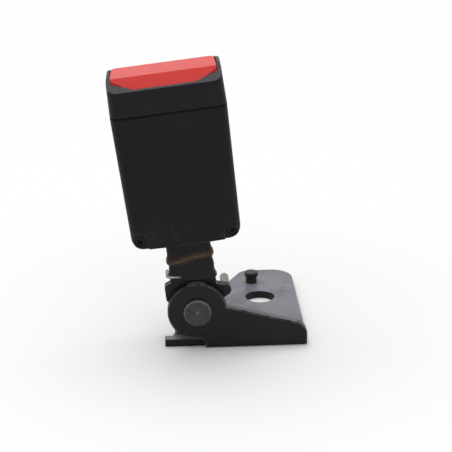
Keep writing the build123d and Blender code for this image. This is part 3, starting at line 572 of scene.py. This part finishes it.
def rivet_metal(name, base, bare, roughness):
    """Dark steel with a paler ring near the head's rim, a pale centre mark and fine pale specks."""
    material, tree, shader, where = start_material(name)
    low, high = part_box("pivot_rivet")
    head = (high.x - low.x) / 2
    axis = {"Centre_X": PIVOT.x, "Centre_Z": PIVOT.z}
    rim = place_group(tree, "Ring", where, Radius=head - 0.35 * MM, Half_width=0.4 * MM, **axis)
    centre = place_group(tree, "Ring", where, Radius=0.0, Half_width=1.1 * MM, **axis)
    stains = place_group(tree, "Patches", where, Scale=500.0, Threshold=0.42, Sharpness=5.0)
    specks = place_group(tree, "Patches", where, Scale=1600.0, Threshold=0.62, Sharpness=12.0)
    tone = mix(tree, stains, base, scaled(base, 0.75))
    pale = strongest(tree, (rim, 0.45), (centre, 0.7), (specks, 0.35))
    tree.links.new(mix(tree, pale, tone, bare), shader.inputs["Base Color"])
    shader.inputs["Metallic"].default_value = 0.5
    tree.links.new(spread(tree, stains, roughness, roughness + 0.15), shader.inputs["Roughness"])
    shader.inputs["Specular IOR Level"].default_value = 0.3
    grain = place_group(tree, "Grain", where, Scale=1500.0)
    set_bump(tree, shader, grain, strength=0.15, distance=0.04 * MM)
    return material


def dusty_rubber(name, base, dust):
    """Matte rubber with brown dust where the boot's own dust attribute says, broken into grains."""
    dust_share = 0.6
    material, tree, shader, where = start_material(name)
    marked = tree.nodes.new("ShaderNodeAttribute")
    marked.attribute_name = "dust"
    broken = place_group(tree, "Patches", where, Scale=1500.0, Threshold=0.42, Sharpness=8.0)
    specks = place_group(tree, "Patches", where, Scale=1300.0, Threshold=0.64, Sharpness=18.0)
    amount = times(tree, times(tree, marked.outputs["Fac"], broken), dust_share)
    amount = larger(tree, amount, times(tree, specks, dust_share))
    tree.links.new(mix(tree, amount, base, dust), shader.inputs["Base Color"])
    shader.inputs["Roughness"].default_value = 0.52
    shader.inputs["Specular IOR Level"].default_value = 0.15
    grain = place_group(tree, "Grain", where, Scale=1400.0)
    set_bump(tree, shader, grain, strength=0.4, distance=0.08 * MM)
    return material


def red_plastic(name, base, highlight_red):
    """Satin red plastic, paler in worn patches, with a painted sheen on its top and a painted highlight on its
    edges.
    """
    material, tree, shader, where = start_material(name)
    pale_red = place_group(tree, "Patches", where, Scale=150.0, Threshold=0.45, Sharpness=3.0)
    # A painted highlight on the edges and a painted sheen on the top, both towards the pale red
    edge = place_group(tree, "Edge wear and highlight", where, Radius=0.6 * MM, Gain=12.0, Scale=500.0)
    tone = mix(tree, pale_red, base, scaled(base, 1.08))
    top = place_group(tree, "Upward", own_normal(tree), Threshold=0.78, Sharpness=6.0)
    pale = strongest(tree, (edge, 0.6), (top, 0.55))
    tree.links.new(mix(tree, pale, tone, highlight_red), shader.inputs["Base Color"])
    shader.inputs["Specular IOR Level"].default_value = 0.25
    tree.links.new(spread(tree, pale_red, 0.28, 0.38), shader.inputs["Roughness"])
    grain = place_group(tree, "Grain", where, Scale=2200.0)
    set_bump(tree, shader, grain, strength=0.12, distance=0.03 * MM)
    return material


def make_finishes(colours):
    """Every material slot's finish by the slot's name, and the finish of the one node that differs."""
    # The cap's top colour and the bracket's pale colour are a painted sheen on upward faces; the button's pale
    # red is a painted sheen on its top and a painted highlight on its edges
    housing, cap, cap_top_sheen = tuple(colours.housing), tuple(colours.cap), tuple(colours.cap_top_sheen)
    dust, paint, bare = tuple(colours.dust), tuple(colours.paint), tuple(colours.bare)
    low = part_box("front_housing")[0].z
    stud_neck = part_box("locating_stud")[0].z + STUD_NECK
    return {
        "housing_black": moulded_plastic(
            "housing_black", housing, dust, roughness=0.5, grain_scale=2600.0, grain_depth=0.05 * MM,
            dust_threshold=0.7, dusty_height=low,
        ),
        "cap_black": moulded_plastic(
            "cap_black", cap, dust, roughness=0.42, grain_scale=3000.0, grain_depth=0.03 * MM,
            dust_threshold=0.72, sheen=cap_top_sheen,
        ),
        "button_red": red_plastic("button_red", tuple(colours.button), tuple(colours.pale_red)),
        "bracket_black": worn_paint(
            "bracket_black", paint, bare, roughness=0.24, threshold=0.72, sheen=tuple(colours.pale_tone)
        ),
        "strap_black": worn_paint("strap_black", paint, bare, roughness=0.4, threshold=0.7),
        "screw_black": worn_paint("screw_black", paint, bare, roughness=0.5, threshold=0.75, wear=0.12),
        "rivet_steel": rivet_metal("rivet_steel", tuple(colours.rivet), bare, roughness=0.42),
        "zinc_steel": worn_metal("zinc_steel", tuple(colours.zinc), roughness=0.35),
        "bush_brass": worn_metal("bush_brass", tuple(colours.brass), roughness=0.3),
        "spring_wire": worn_metal("spring_wire", tuple(colours.wire), roughness=0.32),
        "pin_steel": worn_metal("pin_steel", bare, roughness=0.4),
        "boot_rubber": dusty_rubber("boot_rubber", tuple(colours.rubber), dust),
        "ejector_plastic": moulded_plastic(
            "ejector_plastic", tuple(colours.natural), dust, roughness=0.45, grain_scale=2600.0,
            grain_depth=0.03 * MM, dust_threshold=0.75,
        ),
        "locating_stud": rusty_paint(
            "stud_black", paint, tuple(colours.rust), roughness=0.35, height=stud_neck
        ),
    }


# Meshes


def buckle_point(across, depth, height):
    """Points: the pivot plus across, depth and height, each times its direction in the leaning buckle."""
    return (
        np.array(PIVOT)
        + across[..., None] * np.array(ACROSS_BUCKLE)
        + depth[..., None] * np.array((0.0, 1.0, 0.0))
        + height[..., None] * np.array(UP_BUCKLE)
    )


def ring_mesh(name, points):
    """A smooth closed mesh from a grid of points that wraps round in both directions."""
    rows, columns = points.shape[:2]
    index = np.arange(rows * columns).reshape(rows, columns)
    right = np.roll(index, -1, axis=1)
    below = np.roll(index, -1, axis=0)
    corner = np.roll(right, -1, axis=0)
    quads = np.stack([index, right, corner, below], axis=-1).reshape(-1, 4)
    mesh = bpy.data.meshes.new(name)
    mesh.from_pydata(points.reshape(-1, 3).tolist(), [], quads.tolist())
    mesh.polygons.foreach_set("use_smooth", np.ones(len(quads), bool))
    return mesh


def bell(value, middle, width):
    """A bell curve: e to the power of minus the squared distance from the middle, in widths."""
    return np.exp(-(((value - middle) / width) ** 2))


def boot_points(boot):
    """The boot as a closed loop of wall, outside then inside, swept round a rounded oblong, with its dust.

    The oblong is a superellipse of power four: across is the root of |cos a| with the sign of cos a, and depth
    is the same of sin a. The loop runs up the outside, over the lip and down the inside. The lower end drops by
    the skirt times 3 u^2 - 2 u^3, where u goes from 0 to 1 over the step. The ridge rises across the front as a
    sine. The outside stands out by the fold times the sum of its bell curves, and by a flare that is largest at
    one side and fades upwards as e to the power of minus the height. Dust is a bell curve too. The bell curves
    count millimetres from the ridge.
    """
    around = np.linspace(0, 2 * np.pi, BOOT_COLUMNS, endpoint=False)
    loop = np.linspace(0, 1, BOOT_ROWS, endpoint=False)[:, None]
    outside = loop < 0.5
    rise = np.where(outside, loop * 2, 2 - loop * 2)
    cosine = np.cos(around)[None, :]
    sine = np.sin(around)[None, :]
    across = np.sign(cosine) * np.abs(cosine) ** 0.5
    depth = np.sign(sine) * np.abs(sine) ** 0.5
    hang = np.clip((across - STEP_START) / STEP_WIDTH, 0, 1)
    bottom = boot.bottom - boot.skirt * hang * hang * (3 - 2 * hang)
    height = bottom + (boot.top - bottom) * rise
    from_ridge = (height - boot.ridge) / MM - np.sin(WAVE * across + WAVE_START)
    fold = boot.fold * sum(share * bell(from_ridge, middle, width) for share, middle, width in FOLDS)
    flare = boot.flare * np.exp(-((height - bottom) / FLARE_FADE)) * (0.5 + 0.5 * across)
    inset = np.where(outside, -(fold + flare), boot.wall)
    half_width = boot.width / 2 - inset
    half_depth = boot.thickness / 2 - inset
    points = buckle_point(half_width * across, half_depth * depth, height)
    return points, bell(from_ridge, DUST_MIDDLE, DUST_WIDTH) * outside


def turned_mesh(name, rings):
    """A closed mesh from rings of points, with a pole at the mean of the first and of the last ring."""
    count, columns = rings.shape[:2]
    index = np.arange(count * columns).reshape(count, columns)
    right = np.roll(index, -1, axis=1)
    quads = np.stack([index[:-1], right[:-1], right[1:], index[1:]], axis=-1).reshape(-1, 4)
    first, last = count * columns, count * columns + 1
    start = np.stack([np.full(columns, first), right[0], index[0]], axis=-1)
    end = np.stack([np.full(columns, last), index[-1], right[-1]], axis=-1)
    points = np.concatenate([rings.reshape(-1, 3), rings[0].mean(0)[None], rings[-1].mean(0)[None]])
    mesh = bpy.data.meshes.new(name)
    mesh.from_pydata(points.tolist(), [], quads.tolist() + start.tolist() + end.tolist())
    return mesh


def screw_rings(screws, side):
    """One screw as rings round its axis: floor and wall of the star, head, shank.

    The star's radius is its mean times 1 + s cos n a, for n points and a swing s. The other rings are circles.
    """
    around = np.linspace(0, 2 * np.pi, SCREW_COLUMNS, endpoint=False)
    front, back = (corner.y - PIVOT.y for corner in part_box("housing_screws"))
    star = screws.star_radius * (1 + STAR_SWING * np.cos(STAR_POINTS * around))
    profile = [
        (0.5 * star, screws.star_depth), (0.96 * star, screws.star_depth),
        (star, STAR_CHAMFER), (1.08 * star, 0),
        (screws.head_radius - HEAD_CHAMFER, 0), (screws.head_radius, HEAD_CHAMFER),
        (screws.head_radius, screws.head_height), (screws.shank_radius, screws.head_height),
        (screws.shank_radius, back - front),
    ]
    radius = np.stack([radius + 0 * around for radius, _ in profile])
    depth = np.array([front + depth for _, depth in profile])[:, None] + 0 * around
    across = side * screws.spacing / 2 + radius * np.cos(around)
    return buckle_point(across, depth, screws.height - radius * np.sin(around))


def coil_path(spring, start, end):
    """Helix round the pivot: x = -R cos t, y = offset + pitch t / 2 pi, z = R sin t, t from start to end."""
    t = np.linspace(start, end, int((end - start) / COIL_STEP))
    return np.stack([
        PIVOT.x - spring.coil * np.cos(t),
        PIVOT.y + spring.offset + spring.pitch * t / (2 * np.pi),
        PIVOT.z + spring.coil * np.sin(t),
    ], axis=-1)


def rounded_path(points, reach):
    """Straight runs with rounded corners.

    Corner C is cut from A to B, each reach away, by (1 - s)^2 A + 2 s (1 - s) C + s^2 B.
    """
    before, corner, after = points[:-2], points[1:-1], points[2:]
    back, on = before - corner, after - corner
    first = corner + reach * back / np.linalg.norm(back, axis=1, keepdims=True)
    last = corner + reach * on / np.linalg.norm(on, axis=1, keepdims=True)
    s = np.linspace(0, 1, BEND_POINTS)[None, :, None]
    curve = (1 - s) ** 2 * first[:, None] + 2 * s * (1 - s) * corner[:, None] + s**2 * last[:, None]
    return np.concatenate([points[:1], curve.reshape(-1, 3), points[-1:]])


def wire_mesh(name, path, radius):
    """A wire: at each point P of its path the circle P + r (cos a N + sin a B).

    N is the path's direction crossed with one that it never has, and B is the path's direction crossed with N.
    """
    along = np.gradient(path, axis=0)
    along /= np.linalg.norm(along, axis=1, keepdims=True)
    side = np.cross(along, NO_WIRE_RUNS)
    side /= np.linalg.norm(side, axis=1, keepdims=True)
    other = np.cross(along, side)
    around = (np.arange(WIRE_SIDES) * 2 * np.pi / WIRE_SIDES)[None, :, None]
    circles = np.cos(around) * side[:, None] + np.sin(around) * other[:, None]
    mesh = turned_mesh(name, path[:, None] + radius * circles)
    mesh.shade_smooth()
    return mesh


def return_spring_paths(spring):
    """The coil with its foot, and its last half turn with the leg and bar that the strap carries."""
    low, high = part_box("torsion_spring")
    left, front, top = low.x + spring.wire, low.y + spring.wire, high.z - spring.wire
    full, split = spring.turns * 2 * np.pi, (spring.turns * 2 - 1) * np.pi
    coil, moving = coil_path(spring, 0, split), coil_path(spring, split, full)
    root, end = coil[0], moving[-1]
    base_top = MOUNTS["anchor_bolt_hole"]["dims"]["length_mm"] * MM
    foot = np.array([[root[0] - FOOT_LEAN, root[1], base_top], root - [0, 0, spring.coil / 3], root])
    leg = np.array([
        end, end + [0, 0, spring.coil / 2],
        [left, end[1], top], [left, front, top], [left + spring.bar, front, top],
    ])
    still = np.concatenate([rounded_path(foot, spring.bend)[:-1], coil])
    return still, np.concatenate([moving, rounded_path(leg, spring.bend)[1:]])


def merged_copy(name, node):
    """A copy of a CAD node's mesh with its doubled points merged."""
    mesh = frame["nodes"][node].data.copy()
    mesh.name = name
    mesh.materials.clear()
    work = bmesh.new()
    work.from_mesh(mesh)
    bmesh.ops.remove_doubles(work, verts=work.verts, dist=MERGE_DISTANCE)
    work.to_mesh(mesh)
    work.free()
    return mesh


def add_piece(name, mesh, body, slot, *nodes):
    """An object on a body, in its slot's finish, in place of CAD nodes."""
    piece = bpy.data.objects.new(name, mesh)
    bpy.context.scene.collection.objects.link(piece)
    mesh.materials.append(bpy.data.materials[slot + FINISH])
    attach(piece, body)
    if nodes:
        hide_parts(*nodes)
    return piece


def add_pressed_spring(name, node):
    """A compression spring: a merged copy of a CAD node's mesh on the buckle, in place of the node."""
    mesh = merged_copy(name, node)
    points = np.empty(len(mesh.vertices) * 3)
    mesh.vertices.foreach_get("co", points)
    points = points.reshape(-1, 3)
    along = points @ np.array(UP_BUCKLE)
    foot = points[along.argmin()]
    piece = add_piece(name, mesh, "buckle", "spring_wire", node)
    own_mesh(piece)


# Operators


class BUCKLE_OT_finishes(bpy.types.Operator):
    """Give every CAD node its slot's finish"""

    bl_idname = "buckle.finishes"
    bl_label = "Finishes"

    def execute(self, context):
        finishes = make_finishes(context.scene.buckle_finishes)
        for part in frame["record"]["subparts"]:
            node = frame["nodes"][part["node"]]
            for slot in node.material_slots:
                slot.material = finishes.get(part["node"]) or finishes[part["material_slot"]]
        return {"FINISHED"}


class BUCKLE_OT_boot(bpy.types.Operator):
    """Make the folded rubber boot on the strap"""

    bl_idname = "buckle.boot"
    bl_label = "Boot"

    def execute(self, context):
        points, dust = boot_points(context.scene.buckle_boot)
        mesh = ring_mesh("boot_sleeve", points)
        mesh.attributes.new("dust", "FLOAT", "POINT").data.foreach_set("value", dust.ravel())
        add_piece("boot_sleeve", mesh, "buckle", "boot_rubber", "strap_boot")
        return {"FINISHED"}


class BUCKLE_OT_screws(bpy.types.Operator):
    """Make the two housing screws with their star recesses"""

    bl_idname = "buckle.screws"
    bl_label = "Screws"

    def execute(self, context):
        screws = context.scene.buckle_screws
        for name, side in (("screw_left", -1), ("screw_right", 1)):
            mesh = turned_mesh(name, screw_rings(screws, side))
            add_piece(name, mesh, "buckle", "screw_black", "housing_screws")
        return {"FINISHED"}


class BUCKLE_OT_springs(bpy.types.Operator):
    """Make the return spring, whose hook turns with the strap, and the springs under the button and ejector"""

    bl_idname = "buckle.springs"
    bl_label = "Springs"

    def execute(self, context):
        spring = context.scene.buckle_spring
        coil, hook = return_spring_paths(spring)
        coil_mesh = wire_mesh("spring_coil", coil, spring.wire)
        add_piece("spring_coil", coil_mesh, "anchor", "spring_wire", "torsion_spring")
        add_piece("spring_hook", wire_mesh("spring_hook", hook, spring.wire), "buckle", "spring_wire")
        add_pressed_spring("button_coils", "button_springs")
        add_pressed_spring("ejector_coil", "ejector_spring")
        return {"FINISHED"}


def camera_axes(stage):
    """Right, up and backward directions of the camera from its azimuth, elevation and roll."""
    azimuth, elevation = stage.azimuth, stage.elevation
    back = Vector((
        math.sin(azimuth) * math.cos(elevation), -math.cos(azimuth) * math.cos(elevation), math.sin(elevation)
    ))
    right = Vector((math.cos(azimuth), math.sin(azimuth), 0))
    up = back.cross(right)
    turned_right = math.cos(stage.roll) * right + math.sin(stage.roll) * up
    turned_up = math.cos(stage.roll) * up - math.sin(stage.roll) * right
    return turned_right, turned_up, back


def add_area_light(name, watts, size, place, target):
    """A square soft light that faces a point."""
    light = bpy.data.lights.new(name, "AREA")
    light.energy = watts
    light.size = size
    lamp = bpy.data.objects.new(name, light)
    lamp.location = place
    lamp.rotation_euler = (Vector(target) - Vector(place)).to_track_quat("-Z", "Y").to_euler()
    bpy.context.scene.collection.objects.link(lamp)


def seen_rays(tree):
    """One for camera, glossy and transmission rays, nothing for the rest."""
    path = tree.nodes.new("ShaderNodeLightPath")
    seen = larger(tree, path.outputs["Is Camera Ray"], path.outputs["Is Glossy Ray"])
    return larger(tree, seen, path.outputs["Is Transmission Ray"])


def white_to_camera(tree, shader_output, share):
    """Mixes in a share of plain white, for camera, glossy and transmission rays only."""
    seen = seen_rays(tree)
    white = tree.nodes.new("ShaderNodeEmission")
    blend = tree.nodes.new("ShaderNodeMixShader")
    tree.links.new(times(tree, seen, share), blend.inputs[0])
    tree.links.new(shader_output, blend.inputs[1])
    tree.links.new(white.outputs[0], blend.inputs[2])
    tree.links.new(blend.outputs[0], tree.nodes["Material Output"].inputs["Surface"])


def white_share(tree, middle):
    """How much of the floor is plain white: none under the part, where shadows fall, and nearly all far out."""
    position = tree.nodes.new("ShaderNodeNewGeometry").outputs["Position"]
    away = tree.nodes.new("ShaderNodeVectorMath")
    away.operation = "DISTANCE"
    tree.links.new(position, away.inputs[0])
    away.inputs[1].default_value = (middle.x, middle.y, 0)
    ramp = tree.nodes.new("ShaderNodeMapRange")
    ramp.interpolation_type = "SMOOTHSTEP"
    ramp.inputs["From Min"].default_value = SHADOW_REACH
    ramp.inputs["From Max"].default_value = WHITE_REACH
    ramp.inputs["To Min"].default_value = 0.0
    ramp.inputs["To Max"].default_value = FULL_WHITE
    tree.links.new(away.outputs["Value"], ramp.inputs["Value"])
    return ramp.outputs[0]


class BUCKLE_OT_stage(bpy.types.Operator):
    """Make the camera, the light and the floor"""

    bl_idname = "buckle.stage"
    bl_label = "Stage"

    def execute(self, context):
        stage = context.scene.buckle_stage
        right, up, back = camera_axes(stage)
        camera_data = bpy.data.cameras.new("camera")
        camera_data.lens = stage.lens
        camera_data.sensor_width = SENSOR_WIDTH
        camera_data.clip_start = NEAR_CLIP
        camera = bpy.data.objects.new("camera", camera_data)
        place = Vector(stage.target) + back * stage.distance
        camera.matrix_world = Matrix.Translation(place) @ Matrix((right, up, back)).transposed().to_4x4()
        context.scene.collection.objects.link(camera)
        context.scene.camera = camera
        target = (cad_low + cad_high) / 2
        add_area_light("key", stage.key_power, KEY_SIZE, KEY_PLACE, target)
        add_area_light("fill", stage.fill_power, FILL_SIZE, FILL_PLACE, target)
        bpy.ops.mesh.primitive_plane_add(size=FLOOR_SIZE, location=(0, 0, cad_low.z))
        floor = context.active_object
        floor.name = "floor"
        material, tree, shader, _ = start_material("floor_white")
        shader.inputs["Base Color"].default_value = (FLOOR_GREY, FLOOR_GREY, FLOOR_GREY, 1)
        shader.inputs["Roughness"].default_value = FLOOR_ROUGHNESS
        white_to_camera(tree, shader.outputs[0], white_share(tree, target))
        floor.data.materials.append(material)
        world = bpy.data.worlds.new("studio")
        world.use_nodes = True
        tree = world.node_tree
        background = tree.nodes["Background"]
        background.inputs["Color"].default_value = (1, 1, 1, 1)
        seen = times(tree, seen_rays(tree), 1 - stage.ambient)
        strength = math_node(tree, "ADD", seen, stage.ambient)
        tree.links.new(strength, background.inputs["Strength"])
        context.scene.world = world
        context.scene.view_settings.view_transform = "Standard"
        return {"FINISHED"}


class BUCKLE_PT_panel(bpy.types.Panel):
    """The buckle's pieces and their sizes"""

    bl_label = "Seat Belt Buckle"
    bl_idname = "BUCKLE_PT_panel"
    bl_space_type = "VIEW_3D"
    bl_region_type = "UI"
    bl_category = "Buckle"

    def draw(self, context):
        for holder in GROUPS:
            group = getattr(context.scene, holder)
            box = self.layout.box()
            for name in group.__annotations__:
                box.prop(group, name)
        for operator in OPERATORS:
            self.layout.operator(operator.bl_idname)


GROUPS = {
    "buckle_finishes": BuckleFinishes, "buckle_boot": BuckleBoot, "buckle_screws": BuckleScrews,
    "buckle_spring": BuckleSpring, "buckle_stage": BuckleStage,
}
OPERATORS = (BUCKLE_OT_finishes, BUCKLE_OT_boot, BUCKLE_OT_screws, BUCKLE_OT_springs, BUCKLE_OT_stage)


def register():
    """Register the classes and put each property group on the scene."""
    for cls in (*GROUPS.values(), *OPERATORS, BUCKLE_PT_panel):
        bpy.utils.register_class(cls)
    for name, group in GROUPS.items():
        setattr(bpy.types.Scene, name, PointerProperty(type=group))


def unregister():
    """Take the groups off the scene and unregister the classes."""
    for name in GROUPS:
        delattr(bpy.types.Scene, name)
    for cls in reversed((*GROUPS.values(), *OPERATORS, BUCKLE_PT_panel)):
        bpy.utils.unregister_class(cls)


def main():
    register()
    bpy.ops.buckle.finishes()
    bpy.ops.buckle.boot()
    bpy.ops.buckle.screws()
    bpy.ops.buckle.springs()
    bpy.ops.buckle.stage()


if __name__ == "__main__":
    main()
